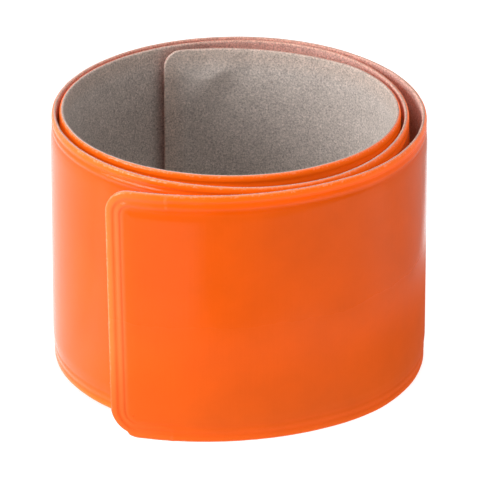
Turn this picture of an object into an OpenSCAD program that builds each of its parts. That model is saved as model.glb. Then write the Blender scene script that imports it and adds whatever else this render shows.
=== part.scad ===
// Slap bracelet, snapped into its coil and standing on the edge of the strip.
// One strip, about 341 mm long when flat, goes two and two thirds times round the wrist.
// It is a laminate: an orange front sheet outside, a flocked sheet inside, a sprung steel strip between.
// Units are mm. Z is the axis of the coil, and the loose outer end of the strip is at the front left.

/* [Strip] */
// width of the strip, which is the height of the bracelet
strip_w = 30; // [27:0.5:34]
// radius of the strip's four corners
corner_r = 3; // [1:0.25:4]
// how far the outer end leans out of square, in degrees
end_lean = 1.1; // [0:0.1:1.8]

/* [Layers] */
// thickness of the front sheet over the spring
cover_t = 0.24; // [0.18:0.01:0.26]
// thickness of the flocked sheet over the spring
backing_t = 0.26; // [0.2:0.01:0.28]
// thickness of the steel spring
spring_t = 0.14; // [0.11:0.01:0.16]
// gap left between layers that touch on the real strip
seam = 0.03; // [0.02:0.005:0.03]

/* [Spring] */
// from the edge of the strip to the edge of the spring, all round
spring_in = 2.9; // [2.8:0.1:4]
// radius of the spring's corners
spring_r = 2; // [0.5:0.25:3]

/* [Hidden] */
// The coil, from the inner end to the outer one, clockwise from above. Each row is one turn of
// constant radius. It ends at a spoke from its centre, where the next turn takes over with no kink.
// Every spoke is a side of a 3-4-5 triangle or an axis, so that all the centres are round numbers.
// [radius, spoke x, spoke y]
coil = [
  [23.40,  0.6,  0.8],
  [11.30,  0.8,  0.6],
  [18.25,  0.8, -0.6],
  [19.20, -0.8,  0.6],
  [20.70,  0.0,  1.0],
  [17.45,  0.8,  0.6],
  [23.80,  0.8, -0.6],
  [16.80,  0.0, -1.0],
  [21.80, -0.6,  0.8],
  [20.00,  0.6,  0.8],
  [23.15,  0.8, -0.6],
  [17.80,  0.6, -0.8],
  [27.50,  0.0,  0.0]
];
first_centre = [-1.85, -4.12];
inner_end = 107.05; // direction of the inner end from the first centre
outer_end = -113.1; // direction of the outer end from the last centre
last = len(coil) - 1;

pocket_in = 2.6;                 // from the edge to the pocket that the spring lies in
pocket_d = spring_t / 2 + seam;  // depth of the pocket from the middle of the strip
border_in = 2.05;                // from the edge to the foot of the shoulder, where the border ends

// The welded border of each sheet: how far in from the edge, and how proud of the weld it stands.
// A lip, a groove, a ridge, a second groove, then the shoulder up to the panel over the spring.
// The last row is the panel.
// [in, proud]
cover_border = [[0, 0.2], [0.1, 0.28], [0.65, 0.28], [0.75, 0.17], [1.05, 0.17],
  [1.2, 0.25], [1.65, 0.25], [1.75, 0.19], [border_in, 0.19], [2.35, pocket_d + cover_t]];
backing_border = [[0, 0.22], [0.1, 0.3], [border_in, 0.3], [2.4, pocket_d + backing_t]];

// The same border across the two ends of the strip, in steps: where each band starts and stops, in
// from the end, and how many rows of the border its cross-section has.
// [near, deep, rows]
cover_bands = [[0, 0.65, 3], [0.65, 1.15, 5], [1.15, 1.7, 7], [1.7, border_in, 9]];
backing_bands = [[0, border_in, 3]];

far = 40;                        // past everything
over = 1;                        // how far a cut runs past what it cuts
across = 6;                      // thickness of the blocks that cut the strip, more than its own
crossing = 1.02;                 // size of the circle that rounds a corner, against the corner's radius
long = 0.5;                      // how much the outer end is left long, before it is cut at a lean

function dir(a) = [cos(a), sin(a)];
function radius(i) = coil[i][0];
function spoke(i) = [coil[i][1], coil[i][2]];
function centre(i) = i == 0 ? first_centre
  : centre(i - 1) + (radius(i - 1) - radius(i)) * spoke(i - 1);
function angle_of(v) = atan2(v[1], v[0]);
function clockwise(a, b) = let (d = (a - b) % 360) d <= 0 ? d + 360 : d;

// degrees that a length along the strip takes up on a turn
function bend(i, len) = len / radius(i) * 180 / PI;

// where a turn starts and stops, with lengths left off the strip's two ends
function from(i, off) = i == 0 ? dir(inner_end - bend(0, off)) : spoke(i - 1);
function to(i, off) = i == last ? dir(outer_end + bend(last, off)) : spoke(i);

// a slice of pie from direction a clockwise to direction b
module pie(a, b) {
  sweep = clockwise(angle_of(a), angle_of(b));
  translate([0, 0, -over]) linear_extrude(strip_w + 2 * over)
    polygon(concat([[0, 0], far * a],
      [for (t = [1 : 3]) 1.5 * far * dir(angle_of(a) - t / 4 * sweep)], [far * b]));
}

// one turn of the strip, whose cross-section is the child, from direction a to direction b
module turn(i, a, b) {
  translate([centre(i)[0], centre(i)[1], 0]) intersection() {
    rotate_extrude($fn = 180) translate([radius(i), 0]) children();
    pie(a, b);
  }
}

// all the turns, less a length at the inner end and another at the outer one
module wound(off, outer_off) {
  for (i = [0 : last]) turn(i, from(i, off), to(i, outer_off)) children();
}

// a band across each end of the strip, between two distances in from the end
module end_band(near, deep) {
  turn(0, from(0, near), from(0, deep)) children();
  turn(last, to(last, deep), to(last, near == 0 ? -long : near)) children();
}

// cross-section of a sheet: the first rows of its border along both edges, and flat between them
module sheet_section(border, rows, side, pocket) {
  shape = [for (k = [0 : rows - 1]) [border[k][1], border[k][0]]];
  mirrored = [for (k = [rows - 1 : -1 : 0]) [border[k][1], strip_w - border[k][0]]];
  inside = pocket ? [[seam / 2, strip_w - pocket_in], [pocket_d, strip_w - pocket_in],
    [pocket_d, pocket_in], [seam / 2, pocket_in]] : [];
  points = concat([[seam / 2, 0]], shape, mirrored, [[seam / 2, strip_w]], inside);
  polygon([for (p = points) [side * p[0], p[1]]]);
}

// what is cut off a corner to round it: x points out of the coil, y into the strip, z into its width
// The circle is a little larger than r, so that it crosses the edges and doesn't only touch them.
module corner_waste(r) {
  difference() {
    translate([-across / 2, -over, -over]) cube([across, r + over, r + over]);
    translate([-across / 2 - over, r, r]) rotate([0, 90, 0])
      cylinder(h = across + 2 * over, r = crossing * r, $fn = 72);
  }
}

// rounds the corners of the two ends, the outer one at its lean, a length in from the ends
module trim(r, off) {
  difference() {
    children();
    for (up = [0, 1])
      translate([centre(0)[0], centre(0)[1], strip_w / 2]) rotate([0, 0, inner_end - bend(0, off)])
        translate([radius(0), 0, 0]) mirror([0, 1, 0]) mirror([0, 0, up])
          translate([0, 0, off - strip_w / 2]) corner_waste(r);
    translate([centre(last)[0], centre(last)[1], strip_w / 2])
      rotate([0, 0, outer_end + bend(last, off)]) translate([radius(last), 0, 0])
        rotate([end_lean, 0, 0]) {
          for (up = [0, 1]) mirror([0, 0, up]) translate([0, 0, off - strip_w / 2]) corner_waste(r);
          translate([-across / 2, -across, -far]) cube([across, across, 2 * far]);
        }
  }
}

// Front sheet: glossy orange film, welded to the backing all round and raised over the spring.
module front_cover() {
  color([1, 0.4, 0.12]) trim(corner_r, 0) {
    wound(border_in, border_in) sheet_section(cover_border, len(cover_border), 1, true);
    for (band = cover_bands)
      end_band(band[0], band[1]) sheet_section(cover_border, band[2], 1, false);
  }
}

// Flocked sheet: the soft side that lies on the wrist.
module flocked_backing() {
  color([0.68, 0.65, 0.63]) trim(corner_r, 0) {
    wound(border_in, border_in) sheet_section(backing_border, len(backing_border), -1, true);
    for (band = backing_bands)
      end_band(band[0], band[1]) sheet_section(backing_border, band[2], -1, false);
  }
}

// Steel spring: the strip sealed between the sheets, which snaps the bracelet round the wrist.
module steel_spring() {
  color([0.75, 0.76, 0.78]) trim(spring_r, spring_in) wound(spring_in, spring_in - long)
    translate([-spring_t / 2, spring_in]) square([spring_t, strip_w - 2 * spring_in]);
}

front_cover();
flocked_backing();
steel_spring();
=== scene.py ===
import math

import bpy
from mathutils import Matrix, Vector, noise


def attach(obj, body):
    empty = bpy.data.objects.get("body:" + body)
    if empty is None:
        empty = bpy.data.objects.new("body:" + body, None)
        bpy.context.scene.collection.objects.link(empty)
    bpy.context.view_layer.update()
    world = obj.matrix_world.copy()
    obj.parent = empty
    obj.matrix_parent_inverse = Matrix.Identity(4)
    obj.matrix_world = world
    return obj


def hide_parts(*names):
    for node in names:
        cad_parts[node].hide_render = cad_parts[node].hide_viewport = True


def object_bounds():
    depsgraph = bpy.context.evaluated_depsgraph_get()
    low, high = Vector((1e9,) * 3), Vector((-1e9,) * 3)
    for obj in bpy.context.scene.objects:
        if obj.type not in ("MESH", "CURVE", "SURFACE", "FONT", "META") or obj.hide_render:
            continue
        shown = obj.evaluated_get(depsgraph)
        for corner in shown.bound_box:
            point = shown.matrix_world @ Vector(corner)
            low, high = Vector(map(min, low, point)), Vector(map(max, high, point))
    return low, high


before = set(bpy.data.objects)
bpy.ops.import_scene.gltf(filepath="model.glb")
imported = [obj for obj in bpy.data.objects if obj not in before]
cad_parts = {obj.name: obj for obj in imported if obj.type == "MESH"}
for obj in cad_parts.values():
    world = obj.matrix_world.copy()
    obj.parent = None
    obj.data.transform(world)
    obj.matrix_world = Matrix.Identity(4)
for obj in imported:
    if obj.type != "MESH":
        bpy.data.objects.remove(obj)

cad_low, cad_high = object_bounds()

# Camera: a long lens far off, looking down over the near rim, so that both the outside of the
# near wall and the inside of the far wall show.
CAMERA_DISTANCE = 0.661
CAMERA_ELEVATION = math.radians(24.56)
CAMERA_LENS = 436.4
SENSOR_WIDTH = 36.0
coil_middle = Vector((0.0, 0.00033, 0.01432))
sight_line = Vector((0.0, -math.cos(CAMERA_ELEVATION), math.sin(CAMERA_ELEVATION)))

camera = bpy.data.objects.new("camera", bpy.data.cameras.new("camera"))
camera.data.lens = CAMERA_LENS
camera.data.sensor_width = SENSOR_WIDTH
camera.data.clip_start = 0.05
camera.data.clip_end = 20.0
camera.location = coil_middle + CAMERA_DISTANCE * sight_line
camera.rotation_euler = (-sight_line).to_track_quat("-Z", "Y").to_euler()
bpy.context.scene.collection.objects.link(camera)
bpy.context.scene.camera = camera


# Studio: white paper, with a big soft box at the left and a weaker fill above at the right. The
# room is lighter at the left and dark on the camera's side, so that the film's face reflects the
# paper and not the room. Two low cards light the front, and don't show in reflections.
def set_inputs(tree, node, inputs):
    """Gives a node's inputs their values, or links them to sockets."""
    for name, value in dict(inputs).items():
        if isinstance(value, bpy.types.NodeSocket):
            tree.links.new(value, node.inputs[name])
        else:
            node.inputs[name].default_value = value


def add_node(tree, kind, inputs=(), **settings):
    """A new node, with its settings, and its inputs given as values or as sockets to link."""
    made = tree.nodes.new(kind)
    for name, value in settings.items():
        setattr(made, name, value)
    set_inputs(tree, made, inputs)
    return made


def fade(tree, value, start, stop, low=0.0, high=1.0, smooth=False):
    """A socket that goes from low, where the value is at start, to high, where it is at stop."""
    return add_node(tree, "ShaderNodeMapRange",
                    {0: value, "From Min": start, "From Max": stop, "To Min": low, "To Max": high},
                    interpolation_type="SMOOTHSTEP" if smooth else "LINEAR").outputs[0]


def combine(tree, operation, *values):
    """A socket with what a Math node makes of one to three values."""
    return add_node(tree, "ShaderNodeMath", dict(enumerate(values)), operation=operation).outputs[0]


def product(tree, first, *others):
    """A socket with the product of two values or more."""
    for other in others:
        first = combine(tree, "MULTIPLY", first, other)
    return first


def soft_light(name, place, size, watts):
    """A rectangular light of a width and a height, aimed at the middle of the coil."""
    lamp = bpy.data.lights.new(name, "AREA")
    lamp.shape = "RECTANGLE"
    lamp.size, lamp.size_y = size
    lamp.energy = watts
    lit = bpy.data.objects.new(name, lamp)
    lit.location = place
    lit.rotation_euler = (coil_middle - Vector(place)).to_track_quat("-Z", "Y").to_euler()
    bpy.context.scene.collection.objects.link(lit)
    return lit


soft_light("box_left", (-0.75, -0.27, 0.38), (0.56, 0.42), 6.3)
soft_light("fill_above_right", (0.35, -0.35, 0.75), (0.6, 0.6), 1.15)
for card in (soft_light("card_low_front", (-0.40, -0.85, 0.07), (0.9, 0.2), 3.2),
             soft_light("card_low_right", (0.65, -0.70, 0.12), (0.8, 0.3), 1.6)):
    card.visible_glossy = False

WHITE = (1.0, 1.0, 1.0, 1)
WALL_LEFT, WALL_RIGHT = 0.75, 0.45
DARK_SHARE = 0.08            # of the walls' light, left on the camera's side below the ceiling
DARK_TOWARD = (0.26, -0.97, 0.0)
world = bpy.data.worlds.new("studio_room")
world.use_nodes = True
tree = world.node_tree
tree.nodes.clear()
direction = add_node(tree, "ShaderNodeTexCoord").outputs["Generated"]
toward = add_node(tree, "ShaderNodeSeparateXYZ", {0: direction}).outputs
walls = fade(tree, toward["X"], -0.5, 0.6, WALL_LEFT, WALL_RIGHT, smooth=True)
facing = add_node(tree, "ShaderNodeVectorMath", {0: direction, 1: DARK_TOWARD}, operation="DOT_PRODUCT")
away_from_dark = fade(tree, facing.outputs["Value"], 0.48, 0.64, 1.0, DARK_SHARE, smooth=True)
ceiling = fade(tree, toward["Z"], 0.65, 0.95, smooth=True)
room_light = product(tree, walls, combine(tree, "MAXIMUM", away_from_dark, ceiling))
room = add_node(tree, "ShaderNodeBackground", {"Color": WHITE, "Strength": room_light})
add_node(tree, "ShaderNodeOutputWorld", {0: room.outputs[0]})
bpy.context.scene.world = world
bpy.context.scene.view_settings.view_transform = "Standard"

FLOOR_SIZE = 6.0
floor_half = FLOOR_SIZE / 2
floor_mesh = bpy.data.meshes.new("paper_floor")
floor_mesh.from_pydata(
    [(-floor_half, -floor_half, 0), (floor_half, -floor_half, 0),
     (floor_half, floor_half, 0), (-floor_half, floor_half, 0)], [], [(0, 1, 2, 3)])
floor = bpy.data.objects.new("paper_floor", floor_mesh)
bpy.context.scene.collection.objects.link(floor)


def start_material(name):
    """A material with an empty tree but for its shader, and the tree's shader node."""
    made = bpy.data.materials.new(name)
    made.use_nodes = True
    made.node_tree.nodes.clear()
    shader = add_node(made.node_tree, "ShaderNodeBsdfPrincipled")
    add_node(made.node_tree, "ShaderNodeOutputMaterial", {0: shader.outputs[0]})
    return made, made.node_tree, shader


def spots(tree, place, scale, detail=2.0, roughness=0.5):
    """A socket with noise from 0 to 1, in spots of about one unit of the place over the scale."""
    return add_node(tree, "ShaderNodeTexNoise", {"Vector": place, "Scale": scale, "Detail": detail,
                                                 "Roughness": roughness}).outputs[0]


PAPER_GRAINS = 90.0          # to the metre
PAPER_DARK, PAPER_PALE = 0.30, 0.33
PAPER_ROUGHNESS = 0.9
paper, tree, shader = start_material("white_paper")
place = add_node(tree, "ShaderNodeTexCoord").outputs["Object"]
paper_grain = fade(tree, spots(tree, place, PAPER_GRAINS, 3.0), 0.0, 1.0, PAPER_DARK, PAPER_PALE)

# The paper is lit from below, in zones that the film's face reflects: bright at the left, and
# more so in a band beside the loose end, then weaker at the right. They stop at the paper's end in
# front. The paper in the camera's view is white, and the floor far off is pale behind the bracelet.
LEFT_GLOW, RIGHT_GLOW, FAR_GLOW, IN_VIEW_GLOW = 0.9, 0.75, 0.6, 0.9
BAND_GAIN_OUT, BAND_GAIN_IN = 0.62, 0.15   # what the band adds to the glow at the left
RIGHT_SHARE_BEHIND = 0.35    # of the glow at the right, past the bracelet's middle
FAR_SHARE_IN_FRONT = 0.15    # of the glow far off, on the camera's side
VIEW_WIDENS = 0.045          # how fast the camera's view widens away from it
STAND_RADIUS = 0.0215        # under the bracelet and inside it the paper doesn't glow
STAND_FADE = 0.003
paper_x, paper_y = add_node(tree, "ShaderNodeSeparateXYZ", {0: place}).outputs[:2]
glow_left = fade(tree, paper_x, -0.013, -0.001, LEFT_GLOW, 0.0, smooth=True)
band = product(tree, fade(tree, paper_y, -0.021, -0.015, smooth=True),
               fade(tree, paper_y, -0.010, -0.002, 1.0, 0.0, smooth=True))
band_gain = fade(tree, paper_x, -0.032, -0.020, BAND_GAIN_OUT, BAND_GAIN_IN, smooth=True)
glow_left_band = product(tree, glow_left, combine(tree, "MULTIPLY_ADD", band, band_gain, 1.0))
glow_right = product(tree, fade(tree, paper_x, -0.001, 0.075, 0.0, RIGHT_GLOW),
                     fade(tree, paper_y, -0.012, 0.012, 1.0, RIGHT_SHARE_BEHIND, smooth=True))
paper_end = fade(tree, paper_y, -0.105, -0.088, smooth=True)
glow_sides = product(tree, combine(tree, "MAXIMUM", glow_left_band, glow_right), paper_end)

far_off = add_node(tree, "ShaderNodeVectorMath", {0: place}, operation="LENGTH").outputs["Value"]
glow_far = product(tree, fade(tree, far_off, 0.12, 0.3, 0.0, FAR_GLOW, smooth=True),
                   fade(tree, paper_y, -0.15, 0.0, FAR_SHARE_IN_FRONT, 1.0, smooth=True))
from_sight = combine(tree, "MULTIPLY_ADD", paper_y, -VIEW_WIDENS, combine(tree, "ABSOLUTE", paper_x))
glow_in_view = product(tree, fade(tree, from_sight, 0.029, 0.040, 1.0, 0.0, smooth=True),
                       fade(tree, paper_y, -0.048, -0.039, smooth=True), IN_VIEW_GLOW)
glow_near = combine(tree, "MAXIMUM", glow_sides, glow_in_view)
uncovered = fade(tree, far_off, STAND_RADIUS - STAND_FADE, STAND_RADIUS)
set_inputs(tree, shader, {
    "Base Color": paper_grain, "Roughness": PAPER_ROUGHNESS, "Emission Color": WHITE,
    "Emission Strength": product(tree, combine(tree, "MAXIMUM", glow_near, glow_far), uncovered)})
floor.data.materials.append(paper)


# Front sheet: glossy orange vinyl film. It is welded to the backing all round its edge, which
# presses a lip, a groove and a ridge into it, and it stands up over the spring as one long panel.
# The two sheets are shaped flat, as they are welded, and then wound on the coil's line.
MM = 0.001
STRIP_WIDTH = round((cad_high.z - cad_low.z) / MM, 2)
COIL = (  # radius, spoke x, spoke y: the turns of the line through the middle of the strip
    (23.40, 0.6, 0.8),
    (11.30, 0.8, 0.6),
    (18.25, 0.8, -0.6),
    (19.20, -0.8, 0.6),
    (20.70, 0.0, 1.0),
    (17.45, 0.8, 0.6),
    (23.80, 0.8, -0.6),
    (16.80, 0.0, -1.0),
    (21.80, -0.6, 0.8),
    (20.00, 0.6, 0.8),
    (23.15, 0.8, -0.6),
    (17.80, 0.6, -0.8),
    (27.50, 0.0, 0.0),
)
FIRST_CENTRE = (-1.85, -4.12)
INNER_END = 107.05   # direction of the inner end from the first turn's centre, in degrees
OUTER_END = -113.1   # direction of the outer end from the last turn's centre, in degrees
LINE_STEP = 0.25     # distance between points of the coil's line
SPARE = 2.0          # how far the line runs on past both ends of the strip


def coil_turns():
    """Centre, radius, starting direction and sweep of each turn, clockwise from above."""
    x, y = FIRST_CENTRE
    start = INNER_END
    turns = []
    for number, (radius, spoke_x, spoke_y) in enumerate(COIL):
        is_last = number == len(COIL) - 1
        stop = OUTER_END if is_last else math.degrees(math.atan2(spoke_y, spoke_x))
        turns.append((x, y, radius, start, (start - stop) % 360))
        if not is_last:
            x += (radius - COIL[number + 1][0]) * spoke_x
            y += (radius - COIL[number + 1][0]) * spoke_y
        start = stop
    return turns


def line_place(turns, length):
    """The point of the coil's line at a length from the strip's inner end."""
    for number, (x, y, radius, start, sweep) in enumerate(turns):
        turn_length = math.radians(sweep) * radius
        if length <= turn_length or number == len(turns) - 1:
            angle = math.radians(start) - length / radius
            return (x + radius * math.cos(angle), y + radius * math.sin(angle))
        length -= turn_length


turns = coil_turns()
strip_length = sum(math.radians(sweep) * radius for x, y, radius, start, sweep in turns)
steps = math.ceil((strip_length + 2 * SPARE) / LINE_STEP)
line_mesh = bpy.data.meshes.new("coil_line")
line_mesh.from_pydata(
    [(MM * x, MM * y, 0) for x, y in
     (line_place(turns, step * LINE_STEP - SPARE) for step in range(steps + 1))],
    [(step, step + 1) for step in range(steps)], [])
coil_line = bpy.data.objects.new("coil_line", line_mesh)
bpy.context.scene.collection.objects.link(coil_line)

END_LEAN = math.radians(1.1)   # the outer end is cut out of square, longer at the top
LEAN_REACH = 14.0              # the lean dies away over this length
CORNER_ZONE = 3.6              # square at each corner that its rounding lies in
CORNER_STEPS = 10
COLUMN_STEP = 0.6              # between the panel's columns, along the strip
ROW_STEP = 2.2                 # between its rows, up the strip
PANEL_START = 2.6              # from the edge to where the loops stop and the panel's grid starts
CORNERS = {                    # radius of each corner as it was cut
    ("inner", "bottom"): 2.2,
    ("inner", "top"): 2.0,
    ("outer", "bottom"): 3.3,
    ("outer", "top"): 2.9,
}
LEAST_RADIUS = 0.06            # that the corners of the inner loops keep
NICK_AT = 2.05                 # a step in the outer bottom corner, where two cuts meet
NICK_DEPTH = 0.3
NICK_IN = 1.5                  # it dies away this far in from the edge
MAP_UNIT = 10                  # the strip's own map is in centimetres


def smooth_step(value):
    """From 0 to 1 on an S curve, and held at both ends."""
    value = min(max(value, 0.0), 1.0)
    return value * value * (3 - 2 * value)


def corner_place(inset, radius, part):
    """How far along and how far in a point of a loop lies, from its corner's middle to its zone's end."""
    radius = max(radius - inset, LEAST_RADIUS)
    arc = math.pi / 4 * radius
    straight = CORNER_ZONE - inset - radius
    went = part * (arc + straight)
    if went < arc:
        angle = math.pi / 4 + went / radius
        return (inset + radius - radius * math.cos(angle), inset + radius - radius * math.sin(angle))
    return (inset + radius + went - arc, inset)


def stations(total, step):
    """Distances across the panel: close together in the corner zones and even between them."""
    near = [PANEL_START + (CORNER_ZONE - PANEL_START) * k / CORNER_STEPS for k in range(CORNER_STEPS)]
    count = round((total - 2 * CORNER_ZONE) / step)
    even = [CORNER_ZONE + (total - 2 * CORNER_ZONE) * k / count for k in range(count + 1)]
    return near + even + [total - d for d in reversed(near)]


columns = stations(strip_length, COLUMN_STEP)
rows = stations(STRIP_WIDTH, ROW_STEP)
last_column, last_row = len(columns) - 1, len(rows) - 1


def loop_place(column, row, inset):
    """The place on the flat strip of one point of the loop at an inset: along, up."""
    on_side = row in (0, last_row)
    if on_side:
        number, last, places, total = column, last_column, columns, strip_length
    else:
        number, last, places, total = row, last_row, rows, STRIP_WIDTH
    end = "inner" if column <= last_column / 2 else "outer"
    edge = "bottom" if row <= last_row / 2 else "top"
    from_corner = min(number, last - number)
    if from_corner <= CORNER_STEPS:
        along, inward = corner_place(inset, CORNERS[end, edge], from_corner / CORNER_STEPS)
    else:
        along, inward = min(places[number], total - places[number]), inset
    from_end, from_edge = (along, inward) if on_side else (inward, along)
    if (end, edge) == ("outer", "bottom") and from_end < NICK_AT:
        from_edge += NICK_DEPTH * max(0.0, 1 - inset / NICK_IN) * max(0.0, 1 - from_edge / CORNER_ZONE)
    x = from_end if end == "inner" else strip_length - from_end
    y = from_edge if edge == "bottom" else STRIP_WIDTH - from_edge
    return x, y


def flat_sheet(name, levels):
    """A welded sheet laid flat, in millimetres, as a closed mesh.

    levels are (inset, height) loops from the edge of the panel on one face, out round the cut
    edge and back to the panel on the other face. height takes a place along, up and in from the
    edge. Both panels are grids that start at the first and the last loop. The faces are laid the
    wrong way round here, because winding the sheet mirrors it.
    """
    border = ([(c, 0) for c in range(last_column)] + [(last_column, r) for r in range(last_row)]
              + [(c, last_row) for c in range(last_column, 0, -1)]
              + [(0, r) for r in range(last_row, 0, -1)])
    points, faces, insets = [], [], []

    def lean(x, y):
        share = smooth_step(1 - (strip_length - x) / LEAN_REACH)
        return x + math.tan(END_LEAN) * (y - STRIP_WIDTH / 2) * share

    def add_point(x, y, inset, height):
        points.append((lean(x, y), y, height(x, y, inset)))
        insets.append(inset)
        return len(points) - 1

    loops = []
    for inset, height in levels:
        loops.append([add_point(*loop_place(c, r, inset), inset, height) for c, r in border])
    around = len(border)
    for near, far in zip(loops, loops[1:]):
        for k in range(around):
            faces.append((near[k], near[(k + 1) % around], far[(k + 1) % around], far[k]))
    for loop, (inset, height), outward in ((loops[0], levels[0], True), (loops[-1], levels[-1], False)):
        grid = dict(zip(border, loop))
        for c in range(1, last_column):
            for r in range(1, last_row):
                x, y = columns[c], rows[r]
                depth = min(x, strip_length - x, y, STRIP_WIDTH - y)
                grid[c, r] = add_point(x, y, depth, height)
        for c in range(last_column):
            for r in range(last_row):
                cell = (grid[c, r], grid[c + 1, r], grid[c + 1, r + 1], grid[c, r + 1])
                faces.append(cell[::-1] if outward else cell)

    mesh = bpy.data.meshes.new(name)
    mesh.from_pydata([(MM * x, MM * y, MM * z) for x, y, z in points], [], faces)
    from_edge = mesh.attributes.new("from_edge", "FLOAT", "POINT")
    from_edge.data.foreach_set("value", insets)
    uv = mesh.uv_layers.new(name="strip")
    for corner in mesh.loops:
        x, y, z = points[corner.vertex_index]
        uv.data[corner.index].uv = (x / MAP_UNIT, y / MAP_UNIT)
    mesh.polygons.foreach_set("use_smooth", [True] * len(mesh.polygons))
    flat = bpy.data.objects.new(name, mesh)
    bpy.context.scene.collection.objects.link(flat)
    return flat


def start_tree(name, inputs, result):
    """A geometry node tree with named inputs and one geometry result, and its inputs' sockets."""
    tree = bpy.data.node_groups.new(name, "GeometryNodeTree")
    for input_name, kind in inputs:
        tree.interface.new_socket(input_name, in_out="INPUT", socket_type=kind)
    tree.interface.new_socket(result, in_out="OUTPUT", socket_type="NodeSocketGeometry")
    return tree, add_node(tree, "NodeGroupInput").outputs


def end_tree(tree, geometry, finish):
    """The end of a geometry node tree: real geometry, with its material."""
    real = add_node(tree, "GeometryNodeRealizeInstances", {0: geometry})
    finished = add_node(tree, "GeometryNodeSetMaterial", {"Geometry": real.outputs[0], "Material": finish})
    add_node(tree, "NodeGroupOutput", {0: finished.outputs[0]})


def winding_tree():
    """Geometry nodes that wind a flat strip on a line: its length goes along the line, its
    thickness to the line's outer side, and its width up."""
    tree, given = start_tree(
        "wind on the coil",
        (("Flat Sheet", "NodeSocketGeometry"), ("Coil Line", "NodeSocketObject"),
         ("Spare Length", "NodeSocketFloat"), ("Finish", "NodeSocketMaterial")), "Wound Sheet")
    flat_place = add_node(tree, "ShaderNodeSeparateXYZ",
                          {0: add_node(tree, "GeometryNodeInputPosition").outputs[0]}).outputs
    line = add_node(tree, "GeometryNodeObjectInfo", {"Object": given["Coil Line"]})
    curve = add_node(tree, "GeometryNodeMeshToCurve", {"Mesh": line.outputs["Geometry"]})
    along = combine(tree, "ADD", flat_place["X"], given["Spare Length"])
    on_line = add_node(tree, "GeometryNodeSampleCurve", {"Curves": curve.outputs["Curve"], "Length": along},
                       mode="LENGTH", use_all_curves=True)
    up = add_node(tree, "ShaderNodeCombineXYZ", {"Z": 1.0})
    outward = add_node(tree, "ShaderNodeVectorMath",
                       {0: up.outputs[0], 1: on_line.outputs["Tangent"]}, operation="CROSS_PRODUCT")
    across = add_node(tree, "ShaderNodeVectorMath",
                      {0: outward.outputs[0], "Scale": flat_place["Z"]}, operation="SCALE")
    lift = add_node(tree, "ShaderNodeCombineXYZ", {"Z": flat_place["Y"]})
    beside = add_node(tree, "ShaderNodeVectorMath",
                      {0: on_line.outputs["Position"], 1: across.outputs[0]}, operation="ADD")
    wound_place = add_node(tree, "ShaderNodeVectorMath",
                           {0: beside.outputs[0], 1: lift.outputs[0]}, operation="ADD")
    moved = add_node(tree, "GeometryNodeSetPosition",
                     {"Geometry": given["Flat Sheet"], "Position": wound_place.outputs[0]})
    end_tree(tree, moved.outputs[0], given["Finish"])
    return tree


def with_tree(source, tree, values, name):
    """A plain mesh object: what a geometry node tree makes of another object."""
    modifier = source.modifiers.new("made", "NODES")
    modifier.node_group = tree
    for socket in tree.interface.items_tree:
        if socket.in_out == "INPUT" and socket.name in values:
            modifier[socket.identifier] = values[socket.name]
    source.update_tag()
    evaluated = source.evaluated_get(bpy.context.evaluated_depsgraph_get())
    mesh = bpy.data.meshes.new_from_object(evaluated, preserve_all_data_layers=True,
                                           depsgraph=bpy.context.evaluated_depsgraph_get())
    source.modifiers.remove(modifier)
    mesh.name = name
    made = bpy.data.objects.new(name, mesh)
    bpy.context.scene.collection.objects.link(made)
    return made


winding = winding_tree()

COVER_BORDER = (  # in from the edge, proud of the weld
    (0.00, 0.02),
    (0.06, 0.10),
    (0.15, 0.165),
    (0.30, 0.22),
    (0.48, 0.25),
    (0.62, 0.245),
    (0.76, 0.18),
    (0.86, 0.12),
    (1.00, 0.105),
    (1.08, 0.13),
    (1.34, 0.235),
    (1.48, 0.245),
    (1.60, 0.21),
    (1.70, 0.165),
    (1.88, 0.155),
    (1.96, 0.18),
    (2.20, 0.245),
    (2.45, 0.285),
    (2.75, 0.315),
    (3.10, 0.338),
    (3.60, 0.345),
)
BORDER_IN = 2.0        # the border's bands end here, and the shoulder starts
BORDER_FADE = 0.4
LOOP_STEP = 0.065
SEAM = 0.004           # from the middle of the strip to the face where the sheets are welded
POCKET = 0.09          # the same, where the spring lies between them
POCKET_IN = 2.55
POCKET_FADE = 0.25
WELD_INSETS = (0.0, 1.2, 2.3, POCKET_IN, PANEL_START)   # of the loops on the welded face
WELD_LENGTH = 7.0      # the weld across each end laps over those along the sides, this far in
WELD_LEAN = 0.019      # it leans with the end, by this much for each unit up the strip
WELD_SLIP = 0.14       # and lies this much further in
WELD_STEP = 0.5        # the step to it is this long
SLIP_IN = 0.6          # and the slip grows over this much in from the edge
NIB = 0.08             # a burr stands where the two welds cross
NIB_WIDTH = 0.22
SOFT_FROM, SOFT_TO = 0.30, 2.45   # along the bottom the weld is pressed softer, between these
SOFT_SHARE = 0.6
SOFT_UP, SOFT_FADE = 5.0, 3.0     # up to this high, dying away over this much

# Low relief: how high, how long its waves are along and up the strip, and its layer of the noise.
BUCKLE = (0.022, 4.2, 9.0, 1.7)
BUCKLE_IN = 3.0
RAGGED_CUT = (0.03, 0.9, 0.9, 6.3)
RAGGED_IN = 0.5
RIPPLE = (0.012, 11.0, 14.0, 4.0)


def low_relief(kind, x, y, share=1.0):
    """The height of one kind of low relief at a place on the flat strip."""
    height, wave_along, wave_up, layer = kind
    return height * share * noise.noise(Vector((x / wave_along, y / wave_up, layer)))


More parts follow.
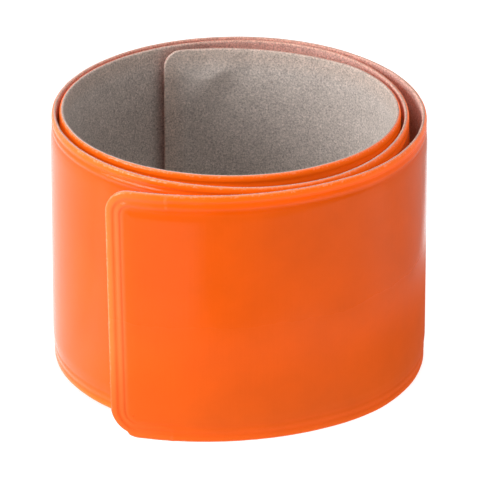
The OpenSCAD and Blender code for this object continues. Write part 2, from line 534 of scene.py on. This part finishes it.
def from_table(table, value):
    """Reads a table of rising places and heights, on one smooth curve through its rows."""
    if value <= table[0][0]:
        return table[0][1]
    if value >= table[-1][0]:
        return table[-1][1]
    slopes = [(y1 - y0) / (x1 - x0) for (x0, y0), (x1, y1) in zip(table, table[1:])]
    tangents = [0.0] + [2 * a * b / (a + b) if a * b > 0 else 0.0
                        for a, b in zip(slopes, slopes[1:])] + [0.0]
    row = max(k for k in range(len(slopes)) if table[k][0] <= value)
    (x0, y0), (x1, y1) = table[row:row + 2]
    part = (value - x0) / (x1 - x0)
    bow = (tangents[row] * (1 - part) - tangents[row + 1] * part) * part * (1 - part) * (x1 - x0)
    return y0 + (y1 - y0) * smooth_step(part) + bow


def edge_wave(x, y, inset):
    """How far the welded border buckles in or out, and how ragged the die cut its very edge."""
    return (low_relief(BUCKLE, x, y, smooth_step(1 - inset / BUCKLE_IN))
            + low_relief(RAGGED_CUT, x, y, smooth_step(1 - inset / RAGGED_IN)))


def outer_height(x, y, inset):
    """How proud the front sheet's glossy face stands."""
    past_weld = min(x, strip_length - x) - WELD_LENGTH + WELD_LEAN * (y - STRIP_WIDTH / 2)
    on_border = smooth_step((BORDER_IN - inset) / BORDER_FADE)
    slip = WELD_SLIP * smooth_step(0.5 - past_weld / WELD_STEP) * on_border
    nib = NIB * math.exp(-(past_weld / NIB_WIDTH) ** 2) * on_border
    settled = from_table(COVER_BORDER, max(0.0, inset - slip * min(1.0, inset / SLIP_IN)))
    if SOFT_FROM < inset < SOFT_TO:
        low, high = from_table(COVER_BORDER, SOFT_FROM), from_table(COVER_BORDER, SOFT_TO)
        plain = low + (high - low) * (inset - SOFT_FROM) / (SOFT_TO - SOFT_FROM)
        near_bottom = smooth_step((SOFT_UP - y) / SOFT_FADE)
        settled += (plain - settled) * SOFT_SHARE * near_bottom * smooth_step(past_weld)
    return settled + nib + low_relief(RIPPLE, x, y) + edge_wave(x, y, inset)


def weld_face(side, pocket):
    """The face of a sheet that is welded to the other one, hollow over the spring."""
    def height(x, y, inset):
        depth = SEAM + (pocket - SEAM) * smooth_step((inset - POCKET_IN) / POCKET_FADE)
        return side * depth + edge_wave(x, y, inset)
    return height


outer_levels = [(PANEL_START - k * LOOP_STEP, outer_height)
                for k in range(int(PANEL_START / LOOP_STEP) + 1)]
cover_levels = outer_levels + [(0.0, outer_height)] + [
    (inset, weld_face(1, POCKET)) for inset in WELD_INSETS]
flat_cover = flat_sheet("flat_cover", cover_levels)


def sheet_places(tree):
    """Sockets for a place in the room, on the flat strip, and in from the strip's edge."""
    return (add_node(tree, "ShaderNodeTexCoord").outputs["Object"],
            add_node(tree, "ShaderNodeUVMap", uv_map="strip").outputs[0],
            add_node(tree, "ShaderNodeAttribute", attribute_name="from_edge").outputs["Fac"])


def mix_dyes(tree, share, first, second):
    """A socket with one colour that gives way to another as the share goes from 0 to 1."""
    return add_node(tree, "ShaderNodeMix", {0: share, 6: first, 7: second}, data_type="RGBA").outputs[2]


def shade(tree, colour, share):
    """A socket with a colour made darker or paler by a share."""
    return add_node(tree, "ShaderNodeVectorMath", {0: colour, "Scale": share}, operation="SCALE").outputs[0]


# The film is thinner and yellower where the weld squeezed it, and pale where it is cut.
FILM_TINTS = (  # how far in, as a share of what the weld squeezed, and the colour there
    (0.00, (1.00, 0.26, 0.13)),
    (0.030, (1.00, 0.19, 0.05)),
    (0.07, (0.98, 0.132, 0.006)),
    (0.22, (0.96, 0.117, 0.004)),
    (0.30, (0.92, 0.095, 0.004)),
    (0.50, (0.90, 0.098, 0.004)),
    (0.66, (0.84, 0.092, 0.002)),
    (1.00, (0.80, 0.094, 0.001)),
)
FILM_SQUEEZED = 2.6                        # how far in from the edge that reaches
TORN_SPOTS, DASH_SPOTS, PEBBLES = 3000.0, 1500.0, 5200.0   # to the metre
MARK_SHARE, PRESSED_SHARE, LOW_SHADE_SHARE = 0.4, 0.27, 0.65    # how strongly each shows, at most
FILM_GLOSSY, FILM_WORN, FILM_DULL = 0.11, 0.17, 0.9        # how rough each is
WELD_GLOW, PANEL_GLOW = 0.29, 0.07
ROLLER_LINES = (26.0, 1.1, 1.0)            # to the centimetre, along and up the strip
CLOUDS = 1.3                               # to the centimetre
FILM_TORN = (1.0, 0.31, 0.17, 1)
FILM_PRESSED_AND_HIGHLIGHT = (1.0, 0.22, 0.09, 1)
# painted shade, darkening the low part of the loose end
FILM_PAINTED_SHADE = (0.66, 0.093, 0.003, 1)
FILM_GLOW = (1.0, 0.150, 0.001, 1)
film, tree, shader = start_material("orange_vinyl_film")
place, strip_map, inset = sheet_places(tree)
along, up_strip = add_node(tree, "ShaderNodeSeparateXYZ", {0: strip_map}).outputs[:2]
tint = add_node(tree, "ShaderNodeValToRGB", {0: fade(tree, inset, 0.0, FILM_SQUEEZED)})
while len(tint.color_ramp.elements) < len(FILM_TINTS):
    tint.color_ramp.elements.new(0.5)
for element, (position, colour) in zip(tint.color_ramp.elements, FILM_TINTS):
    element.position = position
    element.color = (*colour, 1)
torn = product(tree, fade(tree, spots(tree, place, TORN_SPOTS), 0.50, 0.72),
               fade(tree, inset, 0.12, 0.32, 1.0, 0.0))
dyed = mix_dyes(tree, torn, tint.outputs[0], FILM_TORN)

# Where the weld across the end crosses those along the sides, the film is pressed twice and pale, in a broken
# line, which also paints in small highlights on the burr there. From there it pales towards the end, as far
# in as the shoulder.
weld_mark = combine(tree, "MULTIPLY_ADD", up_strip, WELD_LEAN,
                    (strip_length - WELD_LENGTH - WELD_LEAN * STRIP_WIDTH / 2) / MAP_UNIT)
past_mark = combine(tree, "SUBTRACT", along, weld_mark)
dashes = fade(tree, spots(tree, place, DASH_SPOTS), 0.42, 0.58, 0.25, 1.0)
crossing_mark_and_highlight = product(tree, fade(tree, combine(tree, "ABSOLUTE", past_mark), 0.008, 0.03, MARK_SHARE, 0.0),
               fade(tree, inset, 1.4, 1.9, 1.0, 0.0), dashes)
pressed = product(tree, fade(tree, past_mark, -0.05, 0.5, 0.0, PRESSED_SHARE),
                  fade(tree, inset, 1.9, 2.3, 1.0, 0.0))
marked_and_highlit = mix_dyes(tree, combine(tree, "MAXIMUM", crossing_mark_and_highlight, pressed), dyed, FILM_PRESSED_AND_HIGHLIGHT)

# Low down on the loose outer end the colour is darkened with painted shade, for the little light that the
# paper near the bracelet gives it there, and the film is dull there.
map_end = strip_length / MAP_UNIT
loose_end = fade(tree, along, map_end - 6.4, map_end - 5.4)
low_end_shade = product(tree, loose_end, fade(tree, up_strip, 0.25, 1.1, 1.0, 0.0))
low_end_shaded = mix_dyes(tree, fade(tree, low_end_shade, 0.0, 1.0, 0.0, LOW_SHADE_SHARE), marked_and_highlit, FILM_PAINTED_SHADE)
cloud = spots(tree, strip_map, CLOUDS, 4.0, 0.6)
wear = fade(tree, cloud, 0.3, 0.7, FILM_GLOSSY, FILM_WORN)
dulled = product(tree, fade(tree, up_strip, 0.6, 1.8, 1.0, 0.0, smooth=True),
                 fade(tree, along, map_end - 3.5, map_end - 2.6, 1.0, 0.75), loose_end)

# Fine lines from the rollers run across the strip, over a very fine pebble.
stretched = add_node(tree, "ShaderNodeMapping", {"Vector": strip_map, "Scale": ROLLER_LINES})
lines = spots(tree, stretched.outputs[0], 1.0, 4.0)
relief = combine(tree, "MULTIPLY_ADD", spots(tree, place, PEBBLES), 0.35, lines)
bump = add_node(tree, "ShaderNodeBump", {"Height": relief, "Strength": 0.14, "Distance": 0.0001})

# The dye is fluorescent and is given a glow, which is also painted light: brightest in the thin weld, it
# stands in for light let through there and lights the shaded gaps between layers. It is dimmed where the low
# end has painted shade, and at the inner end, which lies in shade against the next turn.
fluorescence_and_painted_light = fade(tree, inset, 0.9, 2.0, WELD_GLOW, PANEL_GLOW)
outside_low_shade = fade(tree, low_end_shade, 0.0, 1.0, 1.0, 0.15)
past_inner_end = fade(tree, along, 0.25, 1.2, 0.05, 1.0)
set_inputs(tree, shader, {
    "Base Color": shade(tree, low_end_shaded, fade(tree, cloud, 0.3, 0.7, 0.90, 1.0)),
    "Normal": bump.outputs[0],
    "Roughness": fade(tree, dulled, 0.0, 1.0, wear, FILM_DULL),
    "Specular IOR Level": 0.20,
    "Emission Strength": product(tree, fluorescence_and_painted_light, outside_low_shade, past_inner_end),
    "Emission Color": FILM_GLOW})

front_cover = with_tree(flat_cover, winding,
                        {"Coil Line": coil_line, "Spare Length": SPARE * MM, "Finish": film}, "front_sheet")
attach(front_cover, "root")
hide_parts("front_cover")

# Flocked sheet: short grey pile stuck on a thin film. It is the soft side, and lies on the wrist.
# The weld melts the pile flat along its edge, where the orange of the front sheet shows through; that pinkish
# edge is also painted light, for the orange light that the film lets through and bounces onto it.
BACKING_BORDER = (  # in from the edge, proud of the weld
    (0.00, 0.20),
    (0.08, 0.27),
    (0.25, 0.30),
    (1.60, 0.305),
    (2.10, 0.325),
    (2.60, 0.352),
    (3.60, 0.362),
)
PILE_INSETS = (0.0, 0.08, 0.16, 0.3, 0.7, 1.1, 1.5, 1.8, 2.1, 2.4, PANEL_START)
PUCKER_AT = (4.9, 4.2)      # from the inner end and from the top, where the spring's corner presses
PUCKER_LEAN = math.radians(38)
PUCKER = 0.5
PUCKER_LONG, PUCKER_WIDE = 2.7, 1.1
DENT_AT = (1.2, 2.4)        # beside the pucker, along it and across it
DENT_LONG, DENT_WIDE = 3.4, 1.5
DENT = 0.25
UNEVEN_PILE = (0.012, 3.0, 3.0, 9.0)


def inner_height(x, y, inset):
    """How proud the flocked face stands, towards the wrist, with the pucker near the inner end."""
    off_x, off_y = x - PUCKER_AT[0], (STRIP_WIDTH - y) - PUCKER_AT[1]
    along = off_x * math.cos(PUCKER_LEAN) - off_y * math.sin(PUCKER_LEAN)
    beside = off_x * math.sin(PUCKER_LEAN) + off_y * math.cos(PUCKER_LEAN)
    fold = PUCKER * math.exp(-(along / PUCKER_LONG) ** 2 - (beside / PUCKER_WIDE) ** 2)
    past_dent, over_dent = (along - DENT_AT[0]) / DENT_LONG, (beside - DENT_AT[1]) / DENT_WIDE
    dent = DENT * math.exp(-past_dent ** 2 - over_dent ** 2)
    settled = from_table(BACKING_BORDER, inset) + fold - dent
    return -(settled + low_relief(UNEVEN_PILE, x, y)) + edge_wave(x, y, inset)


backing_levels = ([(inset, weld_face(-1, POCKET)) for inset in reversed(WELD_INSETS)]
                  + [(inset, inner_height) for inset in PILE_INSETS])
flat_backing = flat_sheet("flat_backing", backing_levels)

# Past the first turn, the weld and the cut edge are painted pinker: painted light, for the orange light that
# the film of the turn inside bounces onto them. The first turn, up to where its inner end lies on the second,
# has no film facing it and keeps greyer edges.
FLOCK_GREY = (0.58, 0.505, 0.46, 1)
WELD_FIRST_TURN, WELD_WITH_BOUNCE = (0.58, 0.47, 0.41, 1), (0.66, 0.45, 0.39, 1)
CUT_FIRST_TURN, CUT_WITH_BOUNCE = (0.66, 0.50, 0.43, 1), (0.74, 0.44, 0.35, 1)
PILE_SPOTS, NAP_SPOTS = 4800.0, 700.0      # to the metre
PILE_DARK, PILE_PALE = 0.50, 1.50
NAP_DARK, NAP_PALE = 0.93, 1.05
flock, tree, shader = start_material("grey_flock")
place, strip_map, inset = sheet_places(tree)
along = add_node(tree, "ShaderNodeSeparateXYZ", {0: strip_map}).outputs["X"]
second_turn = fade(tree, along, 11.9, 12.6)
weld_tint_and_bounce = mix_dyes(tree, second_turn, WELD_FIRST_TURN, WELD_WITH_BOUNCE)
cut_tint_and_bounce = mix_dyes(tree, second_turn, CUT_FIRST_TURN, CUT_WITH_BOUNCE)
faced = mix_dyes(tree, fade(tree, inset, 0.9, 2.7), weld_tint_and_bounce, FLOCK_GREY)
edged = mix_dyes(tree, fade(tree, inset, 0.05, 0.2), cut_tint_and_bounce, faced)
pile = spots(tree, place, PILE_SPOTS, 3.0, 0.8)
nap = fade(tree, spots(tree, place, NAP_SPOTS, 3.0), 0.3, 0.7, NAP_DARK, NAP_PALE)
bump = add_node(tree, "ShaderNodeBump", {"Height": pile, "Strength": 0.7, "Distance": 0.0002})
set_inputs(tree, shader, {
    "Base Color": shade(tree, shade(tree, edged, nap), fade(tree, pile, 0.3, 0.7, PILE_DARK, PILE_PALE)),
    "Normal": bump.outputs[0],
    "Roughness": 0.95,
    "Specular IOR Level": 0.15,
    "Sheen Weight": 0.08,
    "Sheen Roughness": 0.5})

backing = with_tree(flat_backing, winding,
                    {"Coil Line": coil_line, "Spare Length": SPARE * MM, "Finish": flock}, "flocked_sheet")
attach(backing, "root")
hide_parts("flocked_backing")

# Edge fibres: loose ends of the pile, which the die pulled out along the cut edge of the flocked
# sheet. Each is a thin cone that stands on the cut and leans its own way, paler than the pile.
FIBRES_PER_SQUARE_METRE = 1.1e7
FIBRE_LENGTH = 0.00012
FIBRE_ROOT, FIBRE_TIP = 0.000013, 0.000003
FIBRE_LEAN = 0.9            # radians, at most, about each axis
FIBRE_SHORTEST, FIBRE_LONGEST = 0.4, 1.3   # times the length
FIBRE_SEED = 5
CUT_FACE_IN = 0.01          # the cut is what lies less than this in from the edge
FIBRE_GREY, FIBRE_PALE = (0.58, 0.44, 0.37, 1), (0.74, 0.57, 0.49, 1)
FIBRE_TUFTS = 900.0         # to the metre


def fibre_tree():
    """Geometry nodes that stand short loose fibres, each a thin cone, on a sheet's cut edge."""
    tree, given = start_tree(
        "fibres on the cut edge",
        (("Sheet", "NodeSocketGeometry"), ("Fibres Per Square Metre", "NodeSocketFloat"),
         ("Length", "NodeSocketFloat"), ("Root Radius", "NodeSocketFloat"), ("Tip Radius", "NodeSocketFloat"),
         ("Lean", "NodeSocketFloat"), ("Shortest", "NodeSocketFloat"), ("Longest", "NodeSocketFloat"),
         ("Seed", "NodeSocketInt"), ("Finish", "NodeSocketMaterial")), "Fibres")
    depth_in = add_node(tree, "GeometryNodeInputNamedAttribute", {"Name": "from_edge"}, data_type="FLOAT")
    on_cut = add_node(tree, "FunctionNodeCompare", {0: depth_in.outputs[0], 1: CUT_FACE_IN},
                      operation="LESS_THAN")
    roots = add_node(tree, "GeometryNodeDistributePointsOnFaces",
                     {"Mesh": given["Sheet"], "Selection": on_cut.outputs[0],
                      "Density": given["Fibres Per Square Metre"], "Seed": given["Seed"]})
    fibre = add_node(tree, "GeometryNodeMeshCone",
                     {"Vertices": 3, "Radius Top": given["Tip Radius"],
                      "Radius Bottom": given["Root Radius"], "Depth": given["Length"]})
    lean = add_node(tree, "FunctionNodeRandomValue", {"Seed": given["Seed"]}, data_type="FLOAT_VECTOR")
    for end, side in enumerate((combine(tree, "MULTIPLY", given["Lean"], -1.0), given["Lean"])):
        bound = add_node(tree, "ShaderNodeCombineXYZ", {"X": side, "Y": side, "Z": side})
        tree.links.new(bound.outputs[0], lean.inputs[end])
    turned = add_node(tree, "FunctionNodeRotateRotation",
                      {"Rotation": roots.outputs["Rotation"], "Rotate By": lean.outputs[0]},
                      rotation_space="LOCAL")
    size = add_node(tree, "FunctionNodeRandomValue",
                    {2: given["Shortest"], 3: given["Longest"], "Seed": given["Seed"]})
    stood = add_node(tree, "GeometryNodeInstanceOnPoints",
                     {"Points": roots.outputs["Points"], "Instance": fibre.outputs["Mesh"],
                      "Rotation": turned.outputs[0], "Scale": size.outputs[1]})
    end_tree(tree, stood.outputs[0], given["Finish"])
    return tree


lint, tree, shader = start_material("pale_loose_fibres")
place = add_node(tree, "ShaderNodeTexCoord").outputs["Object"]
lint_tint = mix_dyes(tree, spots(tree, place, FIBRE_TUFTS), FIBRE_GREY, FIBRE_PALE)
set_inputs(tree, shader, {"Base Color": lint_tint, "Roughness": 0.9, "Specular IOR Level": 0.1})

edge_fibres = with_tree(
    backing, fibre_tree(),
    {"Fibres Per Square Metre": FIBRES_PER_SQUARE_METRE, "Length": FIBRE_LENGTH,
     "Root Radius": FIBRE_ROOT, "Tip Radius": FIBRE_TIP, "Lean": FIBRE_LEAN,
     "Shortest": FIBRE_SHORTEST, "Longest": FIBRE_LONGEST, "Seed": FIBRE_SEED, "Finish": lint},
    "edge_fibres")
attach(edge_fibres, "root")

# Steel spring: a strip of rolled spring steel, sealed between the two sheets. It shows only as
# the raised panel, but it keeps a finish of its own: brushed along its length, with a blue cast.
STEEL_DARK, STEEL_BRIGHT = (0.52, 0.54, 0.57, 1), (0.66, 0.67, 0.69, 1)
STEEL_POLISHED, STEEL_BRUSHED = 0.22, 0.4      # how rough each is
BRUSH_LINES = (150.0, 150.0, 5200.0)           # to the metre: long round the coil, fine up the strip
steel, tree, shader = start_material("rolled_spring_steel")
place = add_node(tree, "ShaderNodeTexCoord").outputs["Object"]
rolled = add_node(tree, "ShaderNodeMapping", {"Vector": place, "Scale": BRUSH_LINES})
brush = spots(tree, rolled.outputs[0], 1.0, 4.0)
set_inputs(tree, shader, {
    "Base Color": mix_dyes(tree, brush, STEEL_DARK, STEEL_BRIGHT),
    "Roughness": fade(tree, brush, 0.0, 1.0, STEEL_POLISHED, STEEL_BRUSHED),
    "Metallic": 1.0})
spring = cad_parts["steel_spring"]
spring.data.materials.clear()
spring.data.materials.append(steel)

# What was used to shape the sheets goes.
for helper in (flat_cover, flat_backing, coil_line):
    bpy.data.objects.remove(helper)
